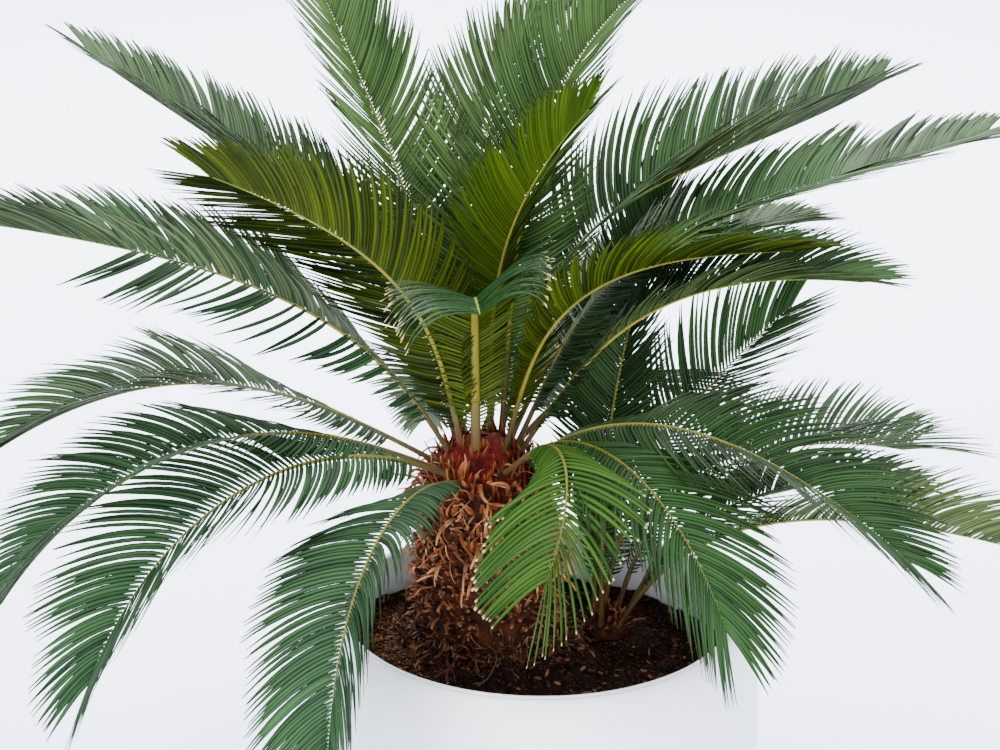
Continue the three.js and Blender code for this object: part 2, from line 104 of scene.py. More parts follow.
def bumps(x, y, z, size, seed):
    """Smooth random relief from -1 to 1: a lattice of random values of the given cell size,
    blended between its eight nearest corners."""
    p = np.stack([x, y, z], -1) / size
    cell = np.floor(p).astype(np.int64)
    f = ease(p - cell)
    total = 0
    for corner in np.ndindex(2, 2, 2):
        cx, cy, cz = np.moveaxis(cell + np.array(corner), -1, 0)
        mixed = (cx * STIR_X) ^ (cy * STIR_Y) ^ (cz * STIR_Z) ^ (seed * STIR_SEED)
        mixed = (mixed * STIR_AGAIN + STIR_ADD) & KEPT_BITS
        mixed = ((mixed >> DROPPED_BITS) * STIR_LAST) & KEPT_BITS
        value = (mixed % VALUES) / HALF_VALUES - 1.0
        weight = np.prod(np.where(np.array(corner) == 1, f, 1 - f), -1)
        total = total + value * weight
    return total


# Detail of the two noises, how much finer the second is, and the sockets of a colour mix.
BROAD_DETAIL, FINE_DETAIL, FINER = 3.0, 4.0, 4.7
MIX_BY, MIX_A, MIX_B, MIXED = 0, 6, 7, 2


def mottled_group():
    """Shared look of every surface: a dark and a light colour mixed by the piece's own tone
    and by noise, a third colour toward its end, roughness and relief from a finer noise."""
    group = bpy.data.node_groups.new("mottled", "ShaderNodeTree")
    face = group.interface
    for key in ("Dark", "Light", "End"):
        face.new_socket(key, in_out="INPUT", socket_type="NodeSocketColor")
    for key in ("Scale", "Spread", "End From", "Rough Low", "Rough High"):
        face.new_socket(key, in_out="INPUT", socket_type="NodeSocketFloat")
    face.new_socket("Color", in_out="OUTPUT", socket_type="NodeSocketColor")
    for key in ("Roughness", "Height"):
        face.new_socket(key, in_out="OUTPUT", socket_type="NodeSocketFloat")
    new, link = group.nodes.new, group.links.new
    source, sink, place = new("NodeGroupInput"), new("NodeGroupOutput"), new("ShaderNodeTexCoord")
    tone, along = new("ShaderNodeAttribute"), new("ShaderNodeAttribute")
    tone.attribute_name, along.attribute_name = "tone", "along"
    broad, fine = new("ShaderNodeTexNoise"), new("ShaderNodeTexNoise")
    broad.inputs["Detail"].default_value, fine.inputs["Detail"].default_value = BROAD_DETAIL, FINE_DETAIL
    finer = new("ShaderNodeMath")
    finer.operation = "MULTIPLY"
    finer.inputs[1].default_value = FINER
    link(source.outputs["Scale"], finer.inputs[0])
    for texture, scale in ((broad, source.outputs["Scale"]), (fine, finer.outputs[0])):
        link(place.outputs["Object"], texture.inputs["Vector"])
        link(scale, texture.inputs["Scale"])
    centred, spread = new("ShaderNodeMath"), new("ShaderNodeMath")
    centred.operation, spread.operation = "SUBTRACT", "MULTIPLY_ADD"
    centred.inputs[1].default_value = 0.5
    spread.use_clamp = True
    link(broad.outputs[0], centred.inputs[0])
    link(centred.outputs[0], spread.inputs[0])
    link(source.outputs["Spread"], spread.inputs[1])
    link(tone.outputs["Fac"], spread.inputs[2])
    body, tip = new("ShaderNodeMix"), new("ShaderNodeMix")
    body.data_type = tip.data_type = "RGBA"
    link(spread.outputs[0], body.inputs[MIX_BY])
    link(source.outputs["Dark"], body.inputs[MIX_A])
    link(source.outputs["Light"], body.inputs[MIX_B])
    past = new("ShaderNodeMapRange")
    past.interpolation_type = "SMOOTHSTEP"
    past.inputs["From Max"].default_value = 1.0
    link(along.outputs["Fac"], past.inputs["Value"])
    link(source.outputs["End From"], past.inputs["From Min"])
    link(past.outputs["Result"], tip.inputs[MIX_BY])
    link(body.outputs[MIXED], tip.inputs[MIX_A])
    link(source.outputs["End"], tip.inputs[MIX_B])
    link(tip.outputs[MIXED], sink.inputs["Color"])
    rough = new("ShaderNodeMapRange")
    link(fine.outputs[0], rough.inputs["Value"])
    link(source.outputs["Rough Low"], rough.inputs["To Min"])
    link(source.outputs["Rough High"], rough.inputs["To Max"])
    link(rough.outputs["Result"], sink.inputs["Roughness"])
    link(fine.outputs[0], sink.inputs["Height"])
    return group


mottled = mottled_group()


def paint(name, dark, light, end=None, scale=30.0, spread=0.6, end_from=0.9, rough=(0.4, 0.6),
          relief=0.3, depth=0.0006, sheen=0.5, coat=0.0):
    """A material whose colour, roughness and relief come from the shared mottled group."""
    material = bpy.data.materials.new(name)
    material.use_nodes = True
    n, link = material.node_tree.nodes, material.node_tree.links.new
    shader = n["Principled BSDF"]
    look = n.new("ShaderNodeGroup")
    look.node_tree = mottled
    look.inputs["Dark"].default_value, look.inputs["Light"].default_value = dark, light
    look.inputs["End"].default_value = end or light
    look.inputs["Scale"].default_value, look.inputs["Spread"].default_value = scale, spread
    look.inputs["End From"].default_value = end_from
    look.inputs["Rough Low"].default_value, look.inputs["Rough High"].default_value = rough
    bump = n.new("ShaderNodeBump")
    bump.inputs["Strength"].default_value, bump.inputs["Distance"].default_value = relief, depth
    link(look.outputs["Color"], shader.inputs["Base Color"])
    link(look.outputs["Roughness"], shader.inputs["Roughness"])
    link(look.outputs["Height"], bump.inputs["Height"])
    link(bump.outputs["Normal"], shader.inputs["Normal"])
    shader.inputs["Specular IOR Level"].default_value = sheen
    shader.inputs["Coat Weight"].default_value = coat
    return material


def outer_radius(z):
    """Planter's outside: a quarter oval from the belly up to the mouth, and below the belly
    a taper that grows with the square of the distance."""
    up = np.clip((z - BELLY_Z) / (RIM - BELLY_Z), 0, 1)
    down = np.clip((BELLY_Z - z) / BELLY_Z, 0, 1)
    shoulder = MOUTH_R + (BELLY_R - MOUTH_R) * np.sqrt(np.maximum(0, 1 - up * up))
    return np.where(z >= BELLY_Z, shoulder, BELLY_R - (BELLY_R - FOOT_R) * down * down)


def inner_radius(z):
    """Planter's inside: outside less the wall, which thins to the lip with the fourth power
    of the height above the belly."""
    up = np.clip((z - BELLY_Z) / (RIM - BELLY_Z), 0, 1)
    return outer_radius(z) - WALL + (WALL - LIP) * up ** 4


def turned(profile, segments):
    """Points of a (radius, height) profile turned about the vertical axis."""
    turn = np.linspace(0, 2 * np.pi, segments, endpoint=False)
    r, z = profile[:, :1], profile[:, 1:]
    return np.stack([r * np.cos(turn), r * np.sin(turn), z + 0 * turn], -1)


# Levels even up to the belly, then closer and closer toward the lip.
SHOULDER_TURN, AXIS_R = 1.45, 0.5
shoulder_turn = np.linspace(0, SHOULDER_TURN, SHOULDER_ROWS)[1:]
rise = np.concatenate([np.linspace(FOOT_ROUND, BELLY_Z, BELLY_ROWS),
                       RIM - (RIM - BELLY_Z) * (1 - np.sin(shoulder_turn))])
lip_turn = np.linspace(0, np.pi, LIP_ROWS)
lip = np.stack([MOUTH_R - LIP_ROUND + LIP_OUT * np.cos(lip_turn),
                RIM - LIP_ROUND + LIP_ROUND * np.sin(lip_turn)], -1)
foot_turn = np.linspace(-np.pi / 2, 0, FOOT_ROWS)
foot = np.stack([FOOT_R - FOOT_ROUND + FOOT_OUT * np.cos(foot_turn),
                 FOOT_ROUND + FOOT_ROUND * np.sin(foot_turn)], -1)
fall = rise[::-1][:-1]
planter_profile = np.concatenate([
    [[AXIS_R, 0.0]], foot, np.stack([outer_radius(rise[1:]), rise[1:]], -1), lip,
    np.stack([inner_radius(fall), np.maximum(fall, FLOOR)], -1), [[AXIS_R, FLOOR]]])
planter_points = turned(planter_profile, PLANTER_COLUMNS)
px, py, pz = np.moveaxis(planter_points, -1, 0)

# The wall waves by half a millimetre, and the last of it below the lip is pitted.
WAVE, PIT, PITS_BELOW_RIM, PIT_BAND, CENTRE_R = 0.5, 0.35, 22, 16, 60.0
pitted = ease((pz - (RIM - PITS_BELOW_RIM)) / PIT_BAND)
uneven = (WAVE * bumps(px, py, pz, size=90.0, seed=3)
          + PIT * bumps(px, py, pz, size=7.0, seed=4) * pitted)
planter_points[..., :2] *= (1 + uneven / np.maximum(np.hypot(px, py), CENTRE_R))[..., None]
planter_paint = paint("white_glaze", linear(236, 241, 252), linear(247, 250, 255), scale=9.0, spread=1.1,
                      rough=(0.30, 0.46), relief=0.12, depth=0.0008, coat=0.15)
build("planter_shell", planter_points, [closed_lattice(len(planter_profile), PLANTER_COLUMNS)],
      [planter_paint], "planter", ["planter"],
      tone=np.clip(0.75 + 0.2 * bumps(px, py, pz, size=60.0, seed=8), 0, 1), along=np.zeros(px.shape))

# Soil
# Damp dark potting mix, loose and crumbly, sloping down to the right and mounded round
# the trunk, with paler bark crumbs and chips lying on it.
TRUNK_FOOT, SHOOT = np.array([-80.0, 50.0]), np.array([115.0, 95.0])
TRUNK_SEAT, SHOOT_SEAT = RIM - 62, RIM - 92
SOIL_DEPTH, SOIL_TILT, SETTLED, TUCKED_IN, SOIL_COLUMNS = 95, 0.06, 3.0, 30.0, 420
TRUNK_LEVEL_R, TRUNK_BAND, SHOOT_LEVEL_R, SHOOT_BAND = 142, 78, 62, 46
BED_R, BED_RINGS, WALL_RINGS = 314, 118, [321.0, 325.0]
LUMPS = ((4.0, 45.0, 1), (2.6, 14.0, 2), (1.5, 5.0, 5))
rng = np.random.default_rng(27)


def soil_height(x, y):
    """A plane tilted to the right, levelled under the trunk and, lower, under the shoot."""
    near_trunk = np.hypot(x - TRUNK_FOOT[0], y - TRUNK_FOOT[1])
    near_shoot = np.hypot(x - SHOOT[0], y - SHOOT[1])
    t = ease((near_trunk - TRUNK_LEVEL_R) / TRUNK_BAND)
    s = ease((near_shoot - SHOOT_LEVEL_R) / SHOOT_BAND)
    z = TRUNK_SEAT + (RIM - SOIL_DEPTH - SOIL_TILT * x - TRUNK_SEAT) * t
    return SHOOT_SEAT + (z - SHOOT_SEAT) * s


def crumbs(x, y):
    """Relief of the loose surface: the sum of lumps, crumbs and grains, each of its own
    height and size."""
    return sum(height * bumps(x, y, 0 * x, size, seed) for height, size, seed in LUMPS)


# Close rings out to the wall, where the last one is tucked in.
soil_rings = np.concatenate([np.linspace(1, BED_R, BED_RINGS), WALL_RINGS])
soil_turn = np.linspace(0, 2 * np.pi, SOIL_COLUMNS, endpoint=False)
sx, sy = soil_rings[:, None] * np.cos(soil_turn), soil_rings[:, None] * np.sin(soil_turn)
sz = soil_height(sx, sy) + crumbs(sx, sy) - SETTLED
sz[-1] -= TUCKED_IN
soil_paint = paint("damp_soil", linear(8, 3, 3), linear(54, 28, 18), linear(44, 24, 15), scale=55.0,
                   spread=1.5, rough=(0.75, 0.98), relief=0.9, depth=0.003, sheen=0.15)
build("soil_bed", np.stack([sx, sy, sz], -1), [closed_lattice(len(soil_rings), SOIL_COLUMNS)[:, ::-1]],
      [soil_paint], "soil", ["soil"],
      tone=np.clip(0.24 + 0.26 * bumps(sx, sy, 0 * sx, size=12.0, seed=9) - 0.0004 * sx, 0, 1),
      along=np.zeros(sx.shape))


def unit(v):
    """Vectors divided by their length."""
    return v / np.maximum(np.linalg.norm(v, axis=-1, keepdims=True), 1e-9)


def sweep(centre, out, wide, thick, ring):
    """Many closed rods at once: a ring outline carried along each centre line. The ring's
    x runs across the rod, its y along the rod's own outward direction."""
    along = unit(np.gradient(centre, axis=1))
    across = unit(np.cross(out, along))
    out = np.cross(along, across)
    m, k, c = *centre.shape[:2], len(ring)
    x, y = ring[:, 0] * wide[..., None], ring[:, 1] * thick[..., None]
    points = centre[:, :, None] + across[:, :, None] * x[..., None] + out[:, :, None] * y[..., None]
    base = np.arange(m * k * c).reshape(m, k, c)
    step = np.roll(base, -1, 2)
    quads = np.stack([base[:, :-1], step[:, :-1], step[:, 1:], base[:, 1:]], -1).reshape(-1, 4)
    return points, [quads, base[:, 0, ::-1], base[:, -1]]


# Crumbs and chips: loose bits of many sizes strewn over the bed, none against the trunk.
SQUARE = np.array([[1, 1], [-1, 1], [-1, -1], [1, -1]]) * 0.9
STREWN_R, TRUNK_CLEAR, CHIP_STATIONS = 308.0, 100, 3
CHIP_LONG, CHIP_WIDE, CHIP_THICK, CHIP_UNEVEN = (0.5, 1.6), (0.18, 0.42), (0.07, 0.2), (0.8, 1.2)
CHIP_TILT, CHIP_ROLL, CHIP_TAPER, CHIP_SEAT, CHIP_KINK, CHIP_TONES = 0.35, 0.4, 1.7, 0.12, 0.05, 0.32


def chips(name, count, size, material, tone, low=0.0, lift=1.0, sector=(0, 2 * np.pi)):
    """Flat irregular crumbs lying on the soil: short tapered rods, thinner than wide. Each
    lies at a random turn in the sector and at a radius whose square is evenly spread."""
    r, a = STREWN_R * np.sqrt(rng.uniform(low, 1.0, count)), rng.uniform(*sector, count)
    x, y = r * np.cos(a), r * np.sin(a)
    clear = np.hypot(x - TRUNK_FOOT[0], y - TRUNK_FOOT[1]) > TRUNK_CLEAR
    x, y = x[clear], y[clear]
    m = len(x)
    turn, tilt = rng.uniform(0, 2 * np.pi, m), rng.normal(0, CHIP_TILT, m)
    heading = np.stack([np.cos(turn) * np.cos(tilt), np.sin(turn) * np.cos(tilt), np.sin(tilt)], -1)
    length = size * rng.uniform(*CHIP_LONG, m)
    s = np.linspace(-0.5, 0.5, CHIP_STATIONS)
    seat = np.stack([x, y, soil_height(x, y) + crumbs(x, y) - SETTLED + lift * size * CHIP_SEAT], -1)
    line = seat[:, None] + heading[:, None] * (length[:, None] * s)[..., None]
    line = line + rng.normal(0, size * CHIP_KINK, line.shape)
    wide = (size * rng.uniform(*CHIP_WIDE, m))[:, None] * (1 - CHIP_TAPER * s ** 2)
    wide = wide * rng.uniform(*CHIP_UNEVEN, (m, CHIP_STATIONS))
    thick = (size * rng.uniform(*CHIP_THICK, m))[:, None] * np.ones(CHIP_STATIONS)
    up = unit(rng.normal(0, CHIP_ROLL, (m, 1, 3)) + [0, 0, 1]) * np.ones((1, CHIP_STATIONS, 1))
    points, faces = sweep(line, up, wide, thick, SQUARE)
    own_tone = np.clip(rng.normal(tone, CHIP_TONES, m), 0, 1)[:, None, None]
    shade = own_tone * np.ones((1, CHIP_STATIONS, len(SQUARE)))
    build(name, points, faces, [material], "soil", smooth=False, tone=shade, along=np.zeros(shade.shape))


crumb_paint = paint("soil_crumb", linear(12, 5, 4), linear(104, 62, 42), scale=120.0, spread=0.5,
                    rough=(0.8, 0.98), relief=0.6, depth=0.001, sheen=0.15)
chip_paint = paint("bark_chip", linear(44, 23, 13), linear(150, 106, 74), scale=70.0, spread=0.5,
                   rough=(0.7, 0.92), relief=0.7, depth=0.001, sheen=0.35)
grain_paint = paint("golden_grain", linear(58, 32, 16), linear(176, 122, 66), scale=140.0, spread=0.5,
                    rough=(0.75, 0.95), relief=0.6, depth=0.001, sheen=0.25)
chips("soil_crumbs", count=9500, size=4.4, material=crumb_paint, tone=0.36)
chips("bark_chips", count=520, size=8.5, material=chip_paint, tone=0.3, lift=1.5)
chips("golden_grains", count=3600, size=3.6, material=grain_paint, tone=0.3, low=0.4, lift=1.6,
      sector=(2.7, 4.5))

# One dry fibre curled on the soil in front of the trunk: part of an oval, arched a little.
FIBRE_X, FIBRE_Y, FIBRE_WIDE, FIBRE_DEEP = -92, -86, 27, 40
FIBRE_FROM, FIBRE_TURN, FIBRE_LIFT, FIBRE_ARCH, FIBRE_R, FIBRE_STATIONS = 1.5, 3.4, 4, 6, 0.9, 28
s = np.linspace(0, 1, FIBRE_STATIONS)[None]
turn = FIBRE_FROM - FIBRE_TURN * s
fx, fy = FIBRE_X + FIBRE_WIDE * np.cos(turn), FIBRE_Y + FIBRE_DEEP * np.sin(turn)
fz = soil_height(fx, fy) + crumbs(fx, fy) + FIBRE_LIFT + FIBRE_ARCH * np.sin(np.pi * s)
fibre = np.stack([fx, fy, fz], -1)
fibre_r = FIBRE_R + 0 * s
points, faces = sweep(fibre, np.array([0.0, 0.2, 1.0]) + 0 * fibre, fibre_r, fibre_r, SQUARE)
build("soil_fibre", points, faces, [chip_paint], "soil", tone=0.4 + 0 * points[..., 0],
      along=np.zeros(points.shape[:3]))

# Trunk
# A squat column of fibrous pith, hidden by the dry stubs of shed fronds in close spirals,
# with red-brown wool and young scales at its crown and dark litter at its foot.
CROWN, CROWN_Z = np.array([-85.0, 45.0]), RIM + 200
TRUNK_ROWS, TRUNK_COLUMNS, TRUNK_LOW, TRUNK_HIGH = 150, 220, -61.7, 265
BARK_LUMP, BARK_GRAIN, BARK_R, RED_FROM, RED_BAND = 4, 3, 90.0, 165, 60.0

# Its outline as heights above the rim and radii, and how far its skin leans back on top.
trunk_outline = np.array([[TRUNK_LOW, 112], [-45, 108], [-20, 101], [60, 101], [110, 98],
                          [170, 89], [210, 77], [240, 58], [260, 32], [266, 1]])
skin_slope = np.array([[150, 0.0], [200, 0.35], [240, 1.1], [262, 1.5]])


def lean(z):
    """The trunk's axis at a height: from its foot to its crown in a straight line."""
    share = np.clip((z - TRUNK_SEAT) / (CROWN_Z - TRUNK_SEAT), 0, 1)
    return TRUNK_FOOT + (CROWN - TRUNK_FOOT) * share[..., None]


trunk_levels = np.linspace(TRUNK_LOW, TRUNK_HIGH, TRUNK_ROWS)
trunk_r = np.interp(trunk_levels, trunk_outline[:, 0], trunk_outline[:, 1])
tt = np.linspace(0, 2 * np.pi, TRUNK_COLUMNS, endpoint=False)[None]
tz = RIM + trunk_levels[:, None] + 0 * tt
tx, ty = np.cos(tt) * trunk_r[:, None], np.sin(tt) * trunk_r[:, None]
bark = (BARK_LUMP * bumps(tx, ty, tz, size=16.0, seed=21)
        + BARK_GRAIN * bumps(tx, ty, tz * 0.5, size=7.0, seed=22))
push = 1 + bark / BARK_R
axis = lean(tz)
trunk_paint = paint("trunk_fibre", linear(26, 12, 8), linear(98, 52, 28), linear(84, 14, 9), scale=60.0,
                    spread=1.2, end_from=0.35, rough=(0.75, 0.95), relief=0.8, depth=0.003, sheen=0.25)
build("trunk_core", np.stack([tx * push + axis[..., 0], ty * push + axis[..., 1], tz], -1),
      [closed_lattice(TRUNK_ROWS, TRUNK_COLUMNS)], [trunk_paint], "trunk", ["trunk"],
      tone=np.clip(0.35 + 0.3 * bumps(tx, ty, tz, size=11.0, seed=23), 0, 1),
      along=ease((tz - RIM - RED_FROM) / RED_BAND))


def on_trunk(angle, level):
    """A place on the trunk's skin and the way out of it, from a turn and a height above the
    rim: the way out tips up as the skin leans back."""
    r = np.interp(level, trunk_outline[:, 0], trunk_outline[:, 1])
    slope = np.interp(level, skin_slope[:, 0], skin_slope[:, 1])
    out = np.stack([np.cos(angle) * np.cos(slope), np.sin(angle) * np.cos(slope), np.sin(slope)], -1)
    x, y = np.moveaxis(lean(RIM + level), -1, 0)
    return np.stack([x + r * np.cos(angle), y + r * np.sin(angle), RIM + level], -1), out


def curl(place, start, over, turn, length, stations, drift):
    """Centre lines that set off from each place along start and turn evenly toward over, by
    turn radians in all, drifting sideways as they go: the sum of their mean headings."""
    s = np.linspace(0, 1, stations)
    side = unit(np.cross(start, over))
    turned_by = (turn[:, None] * s)[..., None]
    heading = start[:, None] * np.cos(turned_by) + unit(over)[:, None] * np.sin(turned_by)
    heading = unit(heading + side[:, None] * (drift[:, None] * s)[..., None])
    moved = np.cumsum((heading[:, 1:] + heading[:, :-1]) / 2, 1)
    moved = np.concatenate([np.zeros((len(place), 1, 3)), moved], 1)
    return place[:, None] + moved * (length[:, None, None] / (stations - 1))


# Cross section of a scale, and the share of its thickness that is lost toward its tip.
LOZENGE = np.array([[1, 0], [0, 1], [-1, 0], [0, -1]])
THINNER = 0.7


def tongues(name, angle, level, length, width, thick, tip, lift, turn, material, tone,
            stations=6, drift=0.3, sink=4.0, seat=None):
    """Dry scales, strips or hairs: each leaves the skin, or its own seat, tilted up by lift,
    curls toward or away from it by turn, and narrows by the distance to the power 1.5."""
    place, out = on_trunk(angle, level) if seat is None else seat
    m = len(place)
    round_way = np.stack([-np.sin(angle), np.cos(angle), 0 * angle], -1)
    up = unit(np.cross(out, round_way))
    start = unit(out * np.cos(lift)[:, None] + up * np.sin(lift)[:, None])
    over = unit(up * np.cos(lift)[:, None] - out * np.sin(lift)[:, None])
    centre = curl(place - out * sink, start, over, turn, length, stations, rng.normal(0, drift, m))
    s = np.linspace(0, 1, stations)
    wide = width[:, None] * (1 - (1 - tip) * s ** 1.5)
    flat = thick[:, None] * (1 - THINNER * s)
    points, faces = sweep(centre, np.broadcast_to(over[:, None], centre.shape), wide, flat, LOZENGE)
    every = np.ones((m, stations, len(LOZENGE)))
    build(name, points, faces, [material], "trunk", smooth=False,
          tone=np.clip(tone, 0, 1)[:, None, None] * every, along=s[None, :, None] * every)


# Stubs of shed fronds, in close spirals.
stub_paint = paint("dry_stub", linear(38, 17, 9), linear(122, 62, 30), linear(160, 98, 56), scale=90.0,
                   spread=0.8, end_from=0.45, rough=(0.6, 0.9), relief=0.8, depth=0.0015, sheen=0.3)
SPIRAL_TURN = 2.39996
n = 300
angle = np.arange(n) * SPIRAL_TURN + rng.normal(0, 0.06, n)
level = np.linspace(-35, 232, n) + rng.normal(0, 4, n)
tongues("trunk_stubs", angle, level, length=rng.uniform(22, 36, n), width=rng.uniform(4.5, 8, n),
        thick=rng.uniform(2.5, 4.5, n), tip=0.3, lift=rng.normal(0.6, 0.3, n),
        turn=rng.normal(0.2, 0.9, n), material=stub_paint, tone=rng.normal(0.3, 0.25, n))

# Dried strips that loop and curl off the stubs, three in four of them downward.
strip_paint = paint("dry_strip", linear(76, 31, 13), linear(174, 100, 52), linear(188, 134, 92),
                    scale=120.0, spread=0.6, end_from=0.4, rough=(0.5, 0.8), relief=0.5, depth=0.001,
                    sheen=0.35)
n = 520
angle, level = rng.uniform(0, 2 * np.pi, n), rng.triangular(0, 170, 225, n)
tongues("trunk_strips", angle, level, length=rng.uniform(34, 84, n), width=rng.uniform(1.6, 4.6, n),
        thick=rng.uniform(0.8, 1.5, n), tip=0.4, lift=rng.normal(0.7, 0.5, n),
        turn=rng.choice([-1, -1, -1, 1], n) * rng.uniform(0.6, 4.4, n), material=strip_paint,
        tone=rng.normal(0.42, 0.3, n), stations=12, drift=1.0, sink=1.0)

# Broken flakes and stumps of scales that clothe the rest of it, more of them low down.
flake_paint = paint("bark_flake", linear(30, 13, 8), linear(128, 76, 44), linear(150, 102, 68),
                    scale=120.0, spread=0.6, end_from=0.6, rough=(0.6, 0.9), relief=0.7, depth=0.0012,
                    sheen=0.3)
n = 1100
angle, level = rng.uniform(0, 2 * np.pi, n), rng.triangular(-55, 10, 215, n)
tongues("trunk_flakes", angle, level, length=rng.uniform(12, 32, n), width=rng.uniform(2.2, 5.5, n),
        thick=rng.uniform(0.9, 2.2, n), tip=0.45, lift=rng.normal(0.5, 0.7, n),
        turn=rng.normal(0, 1.4, n), material=flake_paint, tone=rng.normal(0.32, 0.28, n), drift=0.9,
        sink=1.0)

# Young scales that stand among the stalks at the crown, and the wool between them.
wool_paint = paint("red_wool", linear(38, 9, 5), linear(96, 28, 12), linear(138, 74, 36), scale=150.0,
                   spread=0.9, end_from=0.5, rough=(0.85, 1.0), relief=1.0, depth=0.002, sheen=0.15)
n = 170
angle, level = rng.uniform(0, 2 * np.pi, n), rng.uniform(172, 252, n)
tongues("crown_scales", angle, level, length=rng.uniform(26, 58, n), width=rng.uniform(3, 6.5, n),
        thick=rng.uniform(1.5, 3, n), tip=0.1, lift=rng.normal(1.15, 0.22, n),
        turn=rng.normal(-0.25, 0.35, n), material=wool_paint, tone=rng.normal(0.4, 0.3, n))
n = 1500
angle, level = rng.uniform(0, 2 * np.pi, n), rng.uniform(150, 262, n)
tongues("crown_wool", angle, level, length=rng.uniform(10, 26, n), width=rng.uniform(0.5, 0.9, n),
        thick=rng.uniform(0.5, 0.9, n), tip=0.2, lift=rng.normal(0.8, 0.5, n), turn=rng.normal(0, 1.2, n),
        material=wool_paint, tone=rng.normal(0.45, 0.3, n), stations=5, drift=0.8)

# Litter at the foot: broken strips and fibres heaped against the trunk and lying on the soil.
LITTER_R, LITTER_BAND, HEAP, HEAP_R, HEAP_BAND = 96, 62, 34, 150, 60
litter_paint = paint("litter", linear(26, 12, 7), linear(118, 72, 46), linear(146, 104, 72), scale=110.0,
                     spread=0.6, end_from=0.6, rough=(0.7, 0.95), relief=0.6, depth=0.001, sheen=0.3)
n = 900
angle, r = rng.uniform(0, 2 * np.pi, n), LITTER_R + LITTER_BAND * rng.uniform(0, 1, n) ** 1.4
lx, ly = TRUNK_FOOT[0] + r * np.cos(angle), TRUNK_FOOT[1] + r * np.sin(angle)
lz = soil_height(lx, ly) + 2 + HEAP * rng.uniform(0, 1, n) * ease((HEAP_R - r) / HEAP_BAND)
lie = unit(rng.normal(0, 1, (n, 3)) * [1, 1, 0.35])
tongues("foot_litter", angle, 0 * angle, length=rng.uniform(16, 42, n), width=rng.uniform(1.0, 3.4, n),
        thick=rng.uniform(0.5, 1.1, n), tip=0.4, lift=rng.normal(0, 0.5, n), turn=rng.normal(0, 1.6, n),
        material=litter_paint, tone=rng.normal(0.25, 0.3, n), drift=0.6, sink=0.0,
        seat=(np.stack([lx, ly, lz], -1), lie))

# Side shoot
# A short stub of living stem beside the trunk, half buried in the soil, its scales brown
# and dull. It grew from the trunk's root and carries fronds of its own.
SHOOT_TOP, SHOOT_ROWS, SHOOT_COLUMNS, SHOOT_LUMP = RIM - 76, 30, 60, 0.05
shoot_profile = np.array([[35, SHOOT_SEAT + 0.3], [33, SHOOT_SEAT + 10], [27, SHOOT_TOP + 2],
                          [15, SHOOT_TOP + 8], [0.5, SHOOT_TOP + 10]])
between = np.linspace(0, len(shoot_profile) - 1, SHOOT_ROWS)
fine_profile = np.stack([np.interp(between, np.arange(len(shoot_profile)), shoot_profile[:, k])
                         for k in (0, 1)], -1)
stem_points = turned(fine_profile, SHOOT_COLUMNS)
hx, hy, hz = np.moveaxis(stem_points, -1, 0)
stem_points[..., :2] *= (1 + SHOOT_LUMP * bumps(hx, hy, hz, size=9.0, seed=31))[..., None]
build("shoot_core", stem_points + [SHOOT[0], SHOOT[1], 0], [closed_lattice(SHOOT_ROWS, SHOOT_COLUMNS)],
      [trunk_paint], "trunk", ["shoot_stem"],
      tone=np.clip(0.3 + 0.3 * bumps(hx, hy, hz, size=8.0, seed=32), 0, 1), along=np.zeros(hx.shape))

# Its scales, from its widest at the soil up to where its stalks spring.
SCALE_R, SCALE_IN, SCALE_UP, SCALE_RISE = 34, 16, 26, 0.2
n = 90
angle = rng.uniform(0, 2 * np.pi, n)
share = rng.uniform(0, 1, n)
r = SCALE_R - SCALE_IN * share
seat = np.stack([SHOOT[0] + r * np.cos(angle), SHOOT[1] + r * np.sin(angle),
                 SHOOT_SEAT + SCALE_UP * share], -1)
tongues("shoot_scales", angle, 0 * angle, length=rng.uniform(14, 34, n), width=rng.uniform(3, 6, n),
        thick=rng.uniform(1.2, 2.2, n), tip=0.2, lift=rng.normal(0.9, 0.3, n), turn=rng.normal(0, 0.5, n),
        material=stub_paint, tone=rng.normal(0.2, 0.2, n),
        seat=(seat, np.stack([np.cos(angle), np.sin(angle), SCALE_RISE + 0 * angle], -1)))

# Fronds
# Each frond is one stiff arching rib, olive at its bare stalk and yellow beyond, with two
# close rows of narrow waxy leaflets set in a V, dark and glossy above, yellower below.
# It springs from the crown or from the shoot.
Frond = namedtuple("Frond", "crown seat heading rise droop bend snap swing length longest roll keel "
                            "stalk whole pitch width green")

